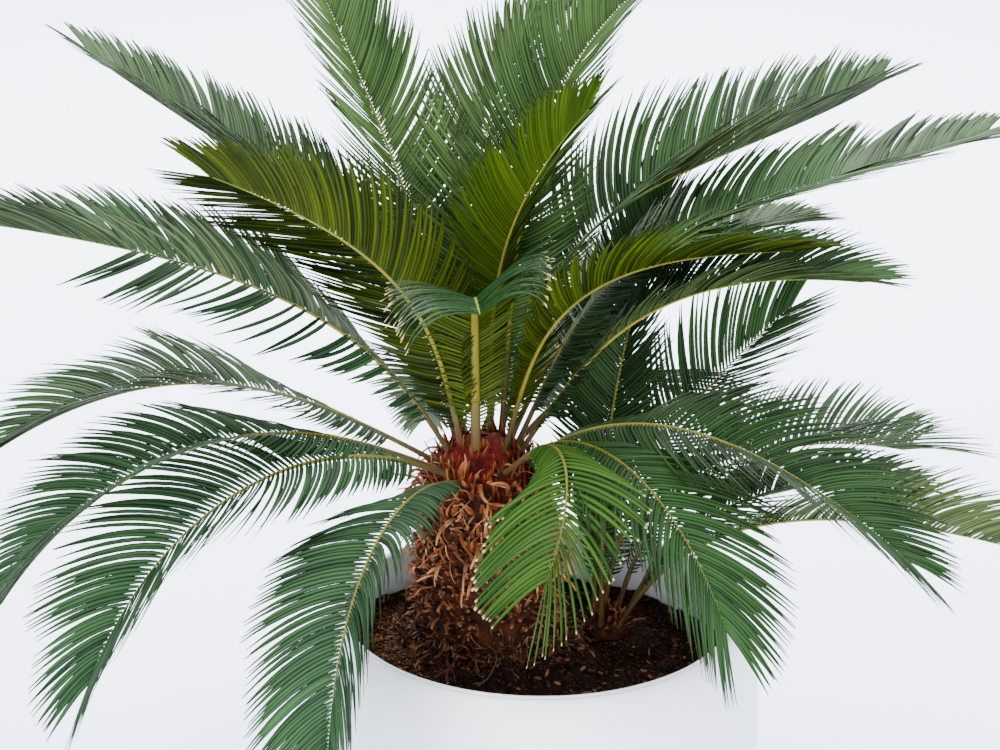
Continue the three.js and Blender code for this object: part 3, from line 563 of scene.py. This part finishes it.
# Crown, side of it that the frond grows from, heading, rise at the foot and droop at the
# tip, where and how sharply it bends, sideways swing, length, longest leaflet, roll, keel
# of its rows, share of bare stalk, share of its rows that is left where its end was cut
# off, pitch and width of its leaflets, and green. Angles are degrees.
FRONDS = [Frond(*row) for row in (
    ("main", 160, 165, 73, 26, 0.33, 4.0, -14, 870, 155, -5, 36, 0.14, 1, 5.7, 6.2, "deep"),
    ("main", 134, 125, 73, 43, 0.5, 2.0, 0, 845, 155, 10, 42, 0.14, 1, 5.8, 7, "mid"),
    ("main", 218, 200, 78, 26, 0.5, 3.0, 0, 625, 150, -62, 22, 0.14, 1, 5.4, 6.2, "olive"),
    ("main", 186, 186, 60, 8, 0.42, 2.0, -10, 800, 165, -10, 42, 0.14, 1, 6, 6.8, "cool"),
    ("main", 184, 190, 32, -32, 0.76, 2.6, 0, 710, 150, -3, 25, 0.16, 1, 6.3, 5.9, "deep"),
    ("main", 204, 200, 28, -54, 0.8, 2.0, 0, 760, 155, -3, 26, 0.16, 1, 6.3, 5.9, "cool"),
    ("main", 222, 207, 28, -66, 0.8, 1.6, 0, 705, 175, 10, 27, 0.12, 1, 7.3, 6.4, "cool"),
    ("main", 244, 240, 20, -86, 0.5, 1.8, 10, 630, 145, -14, 33, 0.09, 1, 6, 6.6, "cool"),
    ("main", 250, 268, 86, 0, 0.6, 5.0, 8, 440, 160, -12, 38, 0.16, 0.45, 5.6, 4.4, "tuft"),
    ("main", 75, 320, 89, 47, 0.62, 3.3, 0, 590, 130, 10, 32, 0.2, 1, 5.6, 6.0, "yellow_backlit"),
    ("main", 44, 62, 82, 24, 0.75, 3.0, -35, 855, 155, -14, 42, 0.14, 1, 5.8, 6.8, "mid"),
    ("main", 108, 100, 86, 30, 0.6, 2.0, -70, 750, 150, 0, 40, 0.16, 1, 6, 6.6, "mid"),
    ("main", 20, 20, 77, 8, 0.35, 4.5, 30, 965, 180, 0, 46, 0.14, 1, 5.8, 6.0, "deep"),
    ("main", 358, 0, 67, 7, 0.36, 3.8, 40, 975, 155, 0, 27, 0.14, 1, 5.8, 6.4, "deep"),
    ("main", 318, 332, 75, 0, 0.55, 3.0, 34, 620, 140, 8, 30, 0.14, 1, 5.4, 6.2, "olive"),
    ("main", 338, 350, 58, -2, 0.62, 3.0, 0, 630, 140, 0, 32, 0.16, 1, 6.0, 6.0, "deep"),
    ("main", 352, 344, 38, -38, 0.4, 1.8, 0, 650, 165, -10, 24, 0.12, 1, 5.6, 5.2, "deep"),
    ("main", 324, 316, 44, -62, 0.48, 1.8, 0, 520, 170, 0, 12, 0.12, 1, 6.3, 6.6, "deep"),
    ("main", 300, 307, 40, -66, 0.51, 4.0, -93, 393, 126, -8, 21, 0.38, 0.84, 7.6, 6.6, "fresh"),
    ("main", 42, 36, 60, -6, 0.5, 2.0, 0, 690, 150, 0, 32, 0.18, 1, 6.3, 6.4, "deep"),
    ("main", 68, 62, 52, -30, 0.5, 2.0, 0, 740, 150, 0, 28, 0.18, 1, 6.3, 6.4, "deep"),
    ("main", 84, 86, 30, -45, 0.6, 2.0, 0, 700, 150, 0, 25, 0.16, 1, 6.3, 6.4, "deep"),
    ("main", 100, 106, 54, -28, 0.5, 2.0, 0, 740, 150, 0, 28, 0.18, 1, 6.3, 6.4, "deep"),
    ("main", 118, 132, 60, 4, 0.5, 2.0, 0, 640, 150, 0, 32, 0.18, 1, 6.3, 6.4, "deep"),
    ("main", 122, 98, 28, -50, 0.5, 2.0, 0, 560, 150, 0, 28, 0.16, 1, 6.3, 6.4, "deep"),
    ("main", 52, 48, 28, -50, 0.5, 2.0, 0, 620, 150, 0, 28, 0.16, 1, 6.3, 6.4, "deep"),
    ("shoot", 306, 2, 60, -16, 0.36, 2.0, 0, 705, 160, 30, 44, 0.22, 0.8, 7.2, 5.2, "mid"),
    ("shoot", 60, 25, 74, -18, 0.45, 2.0, 0, 668, 165, 0, 40, 0.25, 0.8, 7.0, 5.4, "deep"),
    ("shoot", 115, 20, 80, 36, 0.6, 2.0, 0, 600, 150, -30, 30, 0.3, 1, 6.8, 5.4, "deep"),
    ("shoot", 235, 56, 90, 60, 0.5, 4.0, 0, 740, 130, 0, 35, 0.3, 1, 6.3, 6.4, "deep"),
    ("shoot", 172, 84, 80, 10, 0.6, 2.5, 0, 600, 130, 0, 30, 0.3, 1, 6.3, 6.4, "deep"),
    ("shoot", 5, 12, 66, -12, 0.5, 2.0, 0, 560, 130, 0, 28, 0.25, 1, 6.3, 6.4, "deep"),
)]

# Where the stalks spring: flat ones low on the crown's edge, steep ones high and far in.
CROWN_R, CROWN_IN, CROWN_LOW, CROWN_UP, SHOOT_R = 84, 52, 18, 42, 24
FLAT_RISE, STEEP_RISE, RIB_STATIONS = 20, 90, 161


def steepness(f):
    """How steeply a frond rises at its foot: 0 for the flat rise, 1 for the steep one."""
    return np.clip((f.rise - FLAT_RISE) / (STEEP_RISE - FLAT_RISE), 0, 1)


def rib_line(f):
    """Centre line and frame of a rib: its slope falls from rise to droop round the bend,
    its heading swings with the square of the distance, and the steps are summed."""
    u = np.linspace(0, 1, RIB_STATIONS)
    h, k = u ** f.snap, f.bend ** f.snap
    e = np.radians(f.rise + (f.droop - f.rise) * h * (1 + k) / (h + k))
    a = np.radians(f.heading + f.swing * u * u)
    along = np.stack([np.cos(e) * np.cos(a), np.cos(e) * np.sin(a), np.sin(e)], -1)
    left = np.stack([-np.sin(a), np.cos(a), 0 * a], -1)
    up = np.cross(along, left)
    steep, turn, r = steepness(f), np.radians(f.seat), np.radians(f.roll)
    centre, reach, z = SHOOT, SHOOT_R, SHOOT_TOP
    if f.crown == "main":
        centre, reach, z = CROWN, CROWN_R - CROWN_IN * steep, CROWN_Z + CROWN_LOW + CROWN_UP * steep
    start = np.array([centre[0] + reach * np.cos(turn), centre[1] + reach * np.sin(turn), z])
    steps = (along[1:] + along[:-1]) / 2 * f.length / (RIB_STATIONS - 1)
    place = start + np.concatenate([np.zeros((1, 3)), np.cumsum(steps, 0)])
    return u, place, along, left * np.cos(r) - up * np.sin(r), up * np.cos(r) + left * np.sin(r)


def taken(at, u, grid):
    """Rows of a grid of points at given shares of the length, by straight interpolation."""
    return np.stack([np.interp(at, u, grid[:, k]) for k in range(3)], -1)


def wander(count, every, size):
    """A slow random drift along a row: random values every few leaflets, joined smoothly."""
    knots = rng.normal(0, size, count // every + 3)
    x = np.arange(count) / every
    i = x.astype(int)
    return knots[i] + (knots[i + 1] - knots[i]) * ease(x - i)


# Leaflets: shares of the stalk and of the rib where a row starts and ends, then shares of
# the longest leaflet, then angles in degrees, then how each bends, sags and sits on the rib,
# and the painted shade that darkens hanging leaflets and the lower row of a frond rolled over.
FIRST, FIRST_LOWER, LAST, STAGGER, UNEVEN_PITCH, LOW_SPAN = 0.85, 0.5, 0.997, 0.25, 0.08, 0.65
SHORT, LONGER, GROWN_AT, TIP_SHORTER, LOW_SHORTER, LOW_NARROWER = 0.34, 0.66, 0.34, 0.54, 0.75, 0.45
OPEN, CLOSING, TIP_CLOSING, UPRIGHT_FORWARD, REFLEX, REFLEX_TO = 84, 24, 32, 0.18, 40, 0.45
SWEEP, SAG, ABOVE_RIB, BESIDE_RIB, LEAFLET_STATIONS = 0.34, 0.13, 1.6, 3.2, 9
LOOSE, LOOSE_SHARE, LOOSE_TO, HANG, HANG_SHORTER = 4, 0.5, 0.7, 1.3, 0.25
ROLLED_OVER, SHADED, TUFT_CURL, FACE_TILTS, WIDTHS = -50, 0.4, (0.05, 0.3), (0.1, 0.12), (0.9, 1.08)

# How unevenly a row grew: a slow drift along it, and what each leaflet adds of its own.
REACH_DRIFT, REACH_OWN, OPEN_DRIFT, OPEN_OWN, LIFT_DRIFT, LIFT_OWN = 0.025, 0.02, 0.022, 0.014, 0.05, 0.025
SWEEP_DRIFT, SWEEP_OWN, SAG_DRIFT, SAG_OWN = 0.2, 0.1, 0.25, 0.15


def leaflets(f):
    """Both rows of a frond's leaflets. A leaflet's reach eases up to its longest, then falls
    with the fourth power of the distance; it opens less and less toward the end, lifts to
    the keel, and sweeps forward and sags with the square of its own length. Values wander."""
    u, place, along, left, up = rib_line(f)
    steep = steepness(f)
    forward, start = 1 - UPRIGHT_FORWARD * steep, f.stalk * (FIRST - FIRST_LOWER * steep)
    count = int((1 - start) * f.length / f.pitch)
    w = np.linspace(0, 1, LEAFLET_STATIONS)
    rows = []
    for side in (-1, 1):
        at = np.linspace(start, LAST, count) + side * STAGGER * f.pitch / f.length
        at = np.clip(at + rng.normal(0, UNEVEN_PITCH * f.pitch / f.length, count), 0, 1)
        v = f.whole * np.clip((at - f.stalk) / (1 - f.stalk), 0, 1)
        before = np.clip((f.stalk - at) / (LOW_SPAN * f.stalk), 0, 1)
        p, t = taken(at, u, place), taken(at, u, along)
        s, o = unit(taken(at, u, left)), unit(taken(at, u, up))
        reach = f.longest * (SHORT + LONGER * ease(v / GROWN_AT)) * (1 - TIP_SHORTER * v ** 4)
        reach = reach * (1 - LOW_SHORTER * before)
        reach = reach * (1 + wander(count, every=7, size=REACH_DRIFT) + rng.normal(0, REACH_OWN, count))
        open_by = np.radians((OPEN - CLOSING * v ** 0.7 - TIP_CLOSING * v ** 4) * forward)
        open_by = open_by + wander(count, every=9, size=OPEN_DRIFT) + rng.normal(0, OPEN_OWN, count)
        lift = np.radians(f.keel - REFLEX * (1 - ease(v / REFLEX_TO)))
        lift = lift + wander(count, every=9, size=LIFT_DRIFT) + rng.normal(0, LIFT_OWN, count)
        loose = LOOSE_SHARE * (v < LOOSE_TO) * (f is FRONDS[LOOSE - 1] and side > 0)
        hanging = rng.random(count) < loose
        lift, reach = lift - HANG * hanging, reach * (1 - HANG_SHORTER * hanging)
        cross = (np.cos(lift) * side)[:, None] * s + np.sin(lift)[:, None] * o
        head = np.cos(open_by)[:, None] * t + np.sin(open_by)[:, None] * cross
        arc = reach[:, None] * w ** 2
        sweep_by = SWEEP * (1 + wander(count, every=8, size=SWEEP_DRIFT) + rng.normal(0, SWEEP_OWN, count))
        sag_by = SAG * (1 + wander(count, every=9, size=SAG_DRIFT) + rng.normal(0, SAG_OWN, count))
        p = p + o * (ABOVE_RIB * (1 - at))[:, None] + s * (side * BESIDE_RIB * (1 - at))[:, None]
        line = p[:, None] + head[:, None] * (reach[:, None] * w)[..., None]
        line = line + t[:, None] * (sweep_by[:, None] * arc)[..., None]
        line[..., 2] -= sag_by[:, None] * arc
        if f.green == "tuft":
            line[..., 2] -= (reach * rng.uniform(*TUFT_CURL, count))[:, None] * w ** 5
        face = np.cos(lift)[:, None] * o - (np.sin(lift) * side)[:, None] * s
        face = unit(face + t * rng.normal(*FACE_TILTS, count)[:, None])
        half = f.width / 2 * (1 - LOW_NARROWER * before) * rng.uniform(*WIDTHS, count)
        # Painted shade: hanging leaflets, and the lower row of a frond rolled far over, get a darker tone.
        shaded = SHADED * np.maximum((f.roll <= ROLLED_OVER) * (side < 0), hanging)
        rows.append((line, face, half, shaded))
    return [np.concatenate([row[k] for row in rows]) for k in range(4)]


# A blade's width from its base to past its tip, its arch and thickness, and how much
# lighter or darker its six corners are than its own tone: a painted highlight along the
# ridge and painted shade at the rims.
BASE_WIDTH, BASE_RISE, BASE_TO, PAST_TIP = 0.6, 0.4, 0.12, 1.06
ARCH, BLADE_THICK, MEAN_TONE, TONE_SPREAD = 0.5, 0.35, 0.45, 0.24
RIDGE_HIGHLIGHT_RIM_SHADE = np.array([-0.66, 0.42, -0.66, -0.45, 0.3, -0.45])
TAPER, BLUNT_TAPER = (0.6, 0.14), (0.76, 0.35)


def blades(name, green, fronds, nodes, top, under):
    """Leaflet blades of several fronds in one piece: an upper and a lower skin that meet
    at thin edges, arched across, with a painted highlight along the ridge and painted shade
    at the rims. The width eases up from its base, then down to its tip."""
    line, face, half, shaded = [np.concatenate(part) for part in zip(*[leaflets(f) for f in fronds])]
    m, k = line.shape[:2]
    w = np.linspace(0, 1, k)
    along = unit(np.gradient(line, axis=1))
    face = unit(face[:, None] - along * np.sum(along * face[:, None], -1, keepdims=True))
    across = np.cross(face, along)
    taper_from, blunt = BLUNT_TAPER if green == "fresh" else TAPER
    narrowed = 1 - (1 - blunt) * ease((w - taper_from) / (PAST_TIP - taper_from))
    shape = (BASE_WIDTH + BASE_RISE * ease(w / BASE_TO)) * narrowed
    hw = (half[:, None] * shape)[..., None]
    rims = [line - across * hw, line + face * hw * ARCH, line + across * hw]
    lows = [rims[2], line + face * (hw * ARCH - BLADE_THICK * shape[:, None]), rims[0]]
    points = np.stack(rims + lows, 2)
    base = np.arange(m * k * 6).reshape(m, k, 6)
    quads = [np.stack([base[:, :-1, c], base[:, 1:, c], base[:, 1:, c + 1], base[:, :-1, c + 1]], -1)
             for c in (0, 1, 3, 4)]
    faces = np.stack(quads, 2).reshape(-1, 4)
    shade = np.tile([0, 0, 1, 1], m * (k - 1))
    # Each blade's own tone, less its painted shade where it hangs or is rolled under, plus the painted
    # ridge highlight and rim shade at its corners.
    own_tone = (MEAN_TONE - shaded + rng.normal(0, TONE_SPREAD, m))[:, None, None]
    build(name, points, [faces], [top, under], "leaf", nodes, shade=shade,
          tone=np.clip(own_tone + RIDGE_HIGHLIGHT_RIM_SHADE + 0 * w[:, None], 0, 1),
          along=w[None, :, None] * np.ones((m, 1, 6)))


# Dark and light of the upper side, then of the lower. The olive and the yellow-green sets
# are partly the leaflets' own colour and partly painted light shining through them from behind.
GREENS = {
    "deep": (linear(7, 22, 11), linear(54, 84, 44), linear(20, 32, 14), linear(80, 94, 52)),
    "cool": (linear(12, 28, 18), linear(60, 90, 56), linear(28, 40, 26), linear(92, 106, 74)),
    "mid": (linear(16, 38, 16), linear(76, 102, 56), linear(34, 48, 20), linear(92, 104, 62)),
    "olive": (linear(12, 40, 14), linear(46, 76, 28), linear(16, 26, 5), linear(70, 82, 14)),
    "yellow_backlit": (linear(22, 48, 6), linear(58, 82, 18), linear(30, 50, 6), linear(70, 86, 20)),
    "tuft": (linear(2, 20, 8), linear(28, 62, 26), linear(32, 44, 6), linear(76, 88, 26)),
    "fresh": (linear(22, 48, 14), linear(68, 98, 38), linear(32, 56, 14), linear(72, 92, 34)),
}
DRY_TIP, GREEN_TIP, TIP_FROM = linear(200, 186, 140), linear(40, 44, 22), 0.8
DRY_TIP_FROM = {"tuft": 0.94, "fresh": 0.965}
MOST_IN_PIECE = 7
names = ["frond_%s_%02d" % (f.crown, i + 1) for i, f in enumerate(FRONDS)]
node_names = sorted(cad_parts)
for green, (dark, light, low_dark, low_light) in GREENS.items():
    tip, tip_from = DRY_TIP if green in DRY_TIP_FROM else GREEN_TIP, DRY_TIP_FROM.get(green, TIP_FROM)
    top = paint("leaf_" + green, dark, light, tip, scale=7.0, spread=0.7, end_from=tip_from,
                rough=(0.42, 0.62), relief=0.25, depth=0.0004, sheen=0.1)
    under = paint("leaf_" + green + "_under", low_dark, low_light, tip, scale=7.0, spread=0.7,
                  end_from=tip_from, rough=(0.45, 0.65), relief=0.3, depth=0.0004, sheen=0.08)
    chosen = [i for i, f in enumerate(FRONDS) if f.green == green]
    for first in range(0, len(chosen), MOST_IN_PIECE):
        some = chosen[first:first + MOST_IN_PIECE]
        nodes = [node for node in node_names for i in some if node.startswith(names[i])]
        piece_name = "leaflets_%s_%d" % (green, first // MOST_IN_PIECE + 1)
        blades(piece_name, green, [FRONDS[i] for i in some], nodes, top, under)

# Ribs: a rounded stalk, flattened above, thinning all the way to its tip. It starts inside
# its socket, and is swollen at its foot.
HEEL, STEM_W, STEM_H, TIP_W, TIP_H, THINNING = 12.0, 5.4, 4.4, 0.8, 0.7, 1.5
STOUT, STOUT_BY, STOUT_THINNING = 9, 1.5, 0.5
FOOT_SWELL, SWELL_TO, SWELL_BAND, STALK_PAST, ROUND_SUNK = 0.5, 0.03, 0.06, 1.1, 0.12
ROD_TONES = (0.2, 0.8)
ROUND = np.stack([np.cos(np.arange(8) * np.pi / 4), np.sin(np.arange(8) * np.pi / 4)], -1)
rib_paint = paint("rib", linear(98, 90, 24), linear(142, 134, 46), linear(88, 106, 34), scale=26.0,
                  spread=0.8, end_from=0.55, rough=(0.4, 0.6), relief=0.3, depth=0.0005, sheen=0.3)
stalk_paint = paint("stalk", linear(46, 34, 16), linear(94, 74, 40), linear(98, 88, 40), scale=40.0,
                    spread=0.9, end_from=0.2, rough=(0.45, 0.65), relief=0.5, depth=0.0008, sheen=0.28)
for kind, material, stations in (("stalks", stalk_paint, 30), ("ribs", rib_paint, 44)):
    rods = []
    for f in FRONDS:
        u, place, along, left, up = rib_line(f)
        place = np.concatenate([place[:1] - along[:1] * HEEL, place])
        heel = -HEEL / f.length
        split = f.stalk * STALK_PAST
        at = np.linspace(heel, split, stations) if kind == "stalks" else np.linspace(split, 1, stations)
        broad, thinning = (STOUT_BY, STOUT_THINNING) if f is FRONDS[STOUT - 1] else (1.0, THINNING)
        fall = (1 - np.clip(at, 0, 1)) ** thinning
        swell = 1 + FOOT_SWELL * ease((SWELL_TO - at) / SWELL_BAND)
        rods.append((taken(at, np.concatenate([[heel], u]), place), taken(at, u, up),
                     (TIP_W + (STEM_W - TIP_W) * fall) * swell * broad,
                     (TIP_H + (STEM_H - TIP_H) * fall) * swell, (at - at[0]) / (at[-1] - at[0])))
    lines, outs, wides, thicks, alongs = map(np.array, zip(*rods))
    points, faces = sweep(lines, outs, wides, thicks, ROUND - [0, ROUND_SUNK])
    shade = rng.uniform(*ROD_TONES, (len(FRONDS), 1, 1)) * np.ones((1, stations, len(ROUND)))
    build("frond_" + kind, points, faces, [material], "leaf", tone=shade,
          along=alongs[..., None] * np.ones(len(ROUND)))

# Stage
# A plain pale matt floor that runs far behind the plant, so that it is the whole
# background, under broad soft lamps and a pale sky.
FLOOR_HALF, FLOOR_NEAR, FLOOR_FAR = 40, -20, 60
floor = bpy.data.meshes.new("floor")
floor.from_pydata([(-FLOOR_HALF, FLOOR_NEAR, 0), (FLOOR_HALF, FLOOR_NEAR, 0), (FLOOR_HALF, FLOOR_FAR, 0),
                   (-FLOOR_HALF, FLOOR_FAR, 0)], [], [(0, 1, 2, 3)])
floor_piece = bpy.data.objects.new("floor", floor)
bpy.context.scene.collection.objects.link(floor_piece)
floor.materials.append(paint("pale_floor", linear(228, 241, 255), linear(234, 244, 255), scale=0.5,
                             spread=0.3, rough=(0.8, 0.9), relief=0.02, sheen=0.1))

SKY, SKY_STRENGTH, LAMP_COLOUR = (0.86, 0.93, 1.0, 1.0), 1.75, (1.0, 0.985, 0.96)
world = bpy.data.worlds.new("studio")
world.use_nodes = True
world.node_tree.nodes["Background"].inputs["Color"].default_value = SKY
world.node_tree.nodes["Background"].inputs["Strength"].default_value = SKY_STRENGTH
bpy.context.scene.world = world

# Each lamp: its place and size in metres, its power in watts, and what it points at.
PLANT, FLOOR_BEHIND = np.array([-0.05, 0.0, 0.85]), np.array([0.0, 5.2, 0.0])
for label, spot, size, power, target in (
        ("key", (-1.6, -2.6, 3.6), 1.6, 110, PLANT),
        ("top", (0.6, 0.8, 4.2), 2.6, 90, PLANT),
        ("side", (3.4, -1.0, 2.4), 1.8, 30, PLANT),
        ("front", (0.2, -3.6, 0.5), 2.2, 175, PLANT),
        ("behind", (0.0, 5.2, 5.4), 8.0, 3000, FLOOR_BEHIND)):
    lamp = bpy.data.lights.new(label, "AREA")
    lamp.size, lamp.energy, lamp.color = size, power, LAMP_COLOUR
    holder = bpy.data.objects.new(label, lamp)
    holder.location = spot
    aim = target - np.array(spot)
    tilt, pan = math.atan2(math.hypot(aim[0], aim[1]), -aim[2]), math.atan2(aim[0], -aim[1]) + math.pi
    holder.rotation_euler = (tilt, 0, pan)
    bpy.context.scene.collection.objects.link(holder)

EYE_PLACE, EYE_TILT, LENS, SENSOR = (-0.060, -3.223, 2.053), 70, 82.2, 36.0
eye = bpy.data.cameras.new("eye")
eye.lens, eye.sensor_width = LENS, SENSOR
camera = bpy.data.objects.new("eye", eye)
camera.location = EYE_PLACE
camera.rotation_euler = (math.radians(EYE_TILT), 0, 0)
bpy.context.scene.collection.objects.link(camera)
bpy.context.scene.camera = camera
